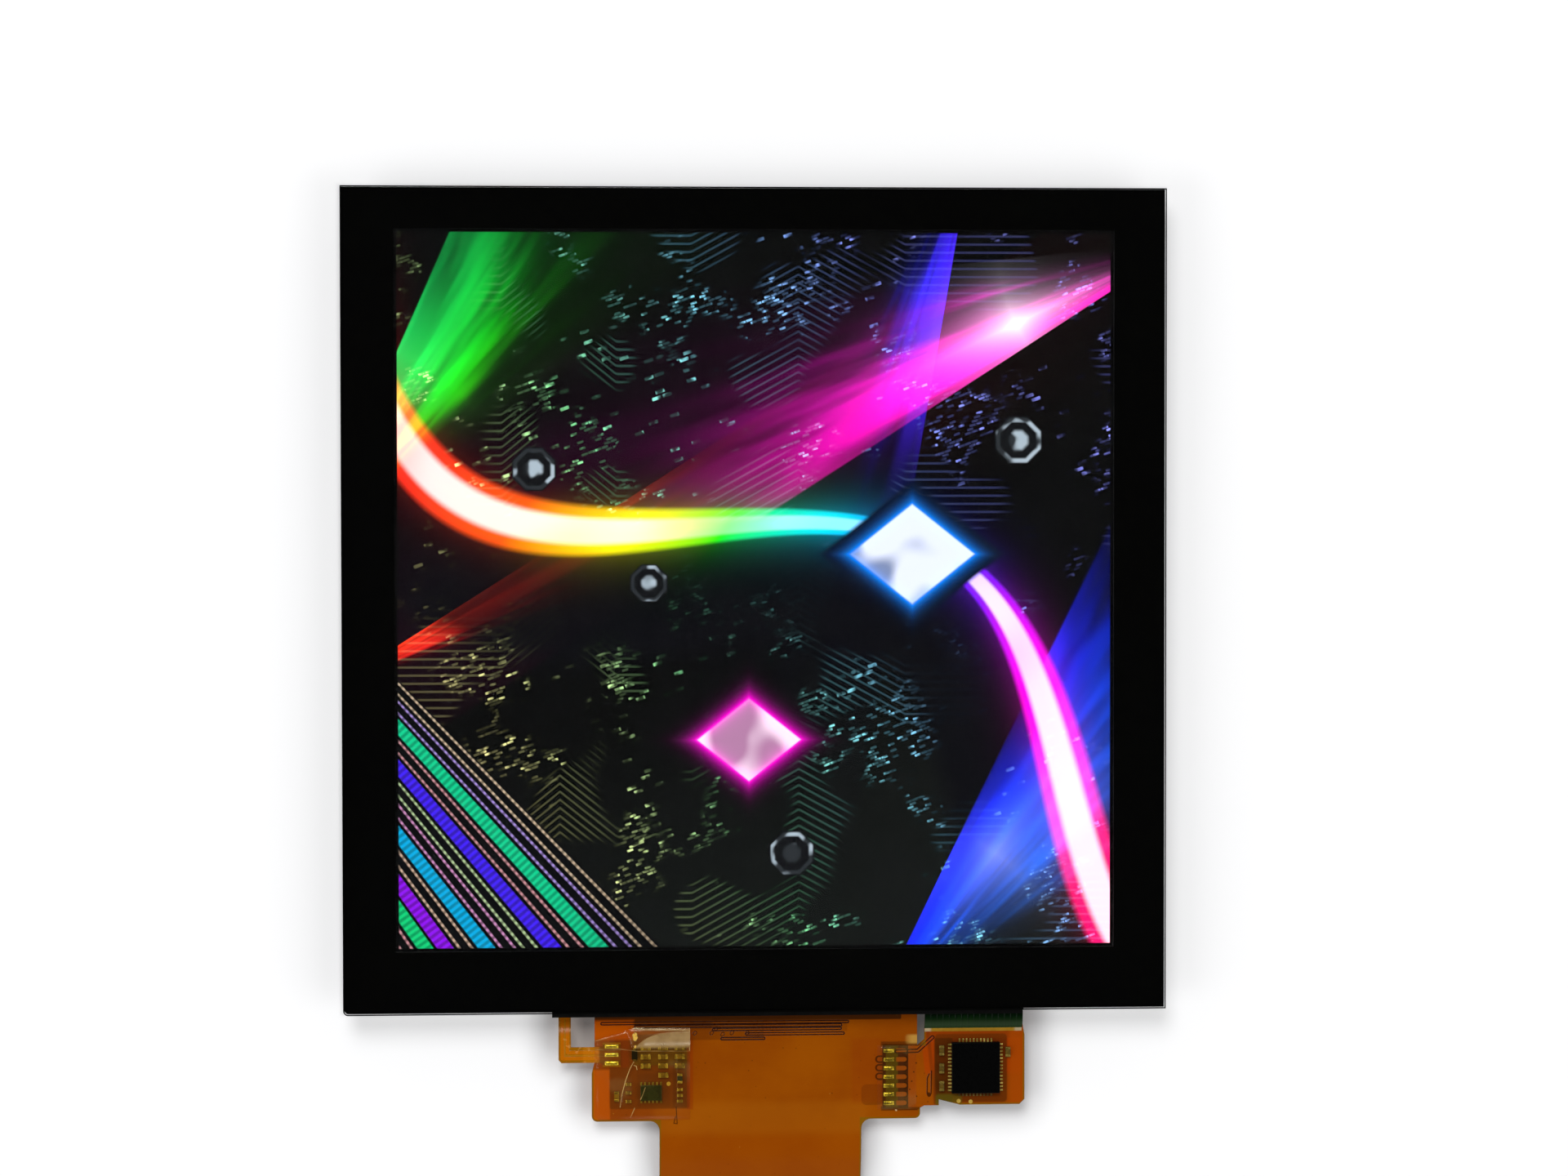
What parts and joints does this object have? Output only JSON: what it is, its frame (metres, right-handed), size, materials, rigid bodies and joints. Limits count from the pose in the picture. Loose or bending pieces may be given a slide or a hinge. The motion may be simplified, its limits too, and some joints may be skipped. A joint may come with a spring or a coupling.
{
  "type": "tft display module",
  "caption": "Square colour liquid-crystal display with a black-bordered touch lens, a backlight tray and amber flex circuits leaving its bottom edge, one ending in a contact tail.",
  "frame": {"origin": "middle of the picture, on the back face of the metal tray", "axes": "+Z out of the screen, +Y to the top edge of the picture, flex circuits leave towards -Y"},
  "size_m": [0.083, 0.119, 0.0041],
  "materials": {
    "lens_glass": "polished, edge broken",
    "border_ink": "black ink seen through glass",
    "clear_adhesive": "clear, soft",
    "sensor_glass": "clear with a faint conductor coating",
    "black_foam": "closed-cell foam",
    "picture_film": "polarizer with the lit picture",
    "cell_glass": "thin display glass",
    "seal_resin": "cured sealant",
    "liquid_crystal": "thin liquid layer",
    "rear_film": "grey polarizer film",
    "silicon": "bare chip, mirror-like",
    "black_tape": "thin black tape",
    "backlight_film": "satin optical film",
    "guide_acrylic": "clear moulded acrylic",
    "reflector": "white mirror film",
    "white_frame": "moulded white plastic",
    "tray_metal": "folded stainless sheet",
    "led_plastic": "white moulding",
    "led_phosphor": "yellow phosphor resin",
    "amber_flex": "amber film over copper",
    "amber_tape": "thin glossy amber tape",
    "brown_stiffener": "brown stiffening plate",
    "gold_contact": "gold-plated copper",
    "solder": "reflowed solder under amber film",
    "ceramic_part": "brown ceramic",
    "dark_part": "black resistor glaze",
    "part_plating": "tin-plated ends",
    "chip_resin": "black moulding resin",
    "green_cover": "dark green cover film"
  },
  "bodies": {
    "root": {"cover_glass": "lens_glass", "border_print": "border_ink", "lens_adhesive": "clear_adhesive", "touch_sensor": "sensor_glass", "gasket_tape": "black_foam", "front_polarizer": "picture_film", "color_filter_glass": "cell_glass", "cell_seal": "seal_resin", "liquid_crystal": "liquid_crystal", "tft_glass": "cell_glass", "rear_polarizer": "rear_film", "driver_ic": "silicon", "driver_ic_tape": "black_tape", "rim_tape": "black_tape", "upper_prism_film": "backlight_film", "lower_prism_film": "backlight_film", "diffuser_film": "backlight_film", "light_guide": "guide_acrylic", "reflector_film": "reflector", "mould_frame": "white_frame", "metal_tray": "tray_metal", "led_housings": "led_plastic", "led_phosphors": "led_phosphor", "led_flex": "amber_flex", "led_flex_joints": "solder", "main_flex": "amber_flex", "contact_stiffener": "amber_flex", "contact_fingers": "gold_contact", "component_stiffener": "brown_stiffener", "capacitor_bodies": "ceramic_part", "resistor_bodies": "dark_part", "component_ends": "part_plating", "diode": "chip_resin", "diode_leads": "part_plating", "power_chip": "chip_resin", "power_chip_pins": "part_plating", "component_tape": "amber_tape", "touch_flex": "amber_flex", "touch_flex_cover": "green_cover", "touch_ground_bar": "gold_contact", "touch_stiffener": "brown_stiffener", "touch_flex_joints": "solder", "joint_tape": "amber_tape", "touch_controller": "chip_resin", "touch_controller_pins": "gold_contact", "touch_capacitor_bodies": "ceramic_part", "touch_capacitor_ends": "part_plating", "test_pads": "gold_contact", "exit_shield": "black_tape"}
  },
  "joints": []
}
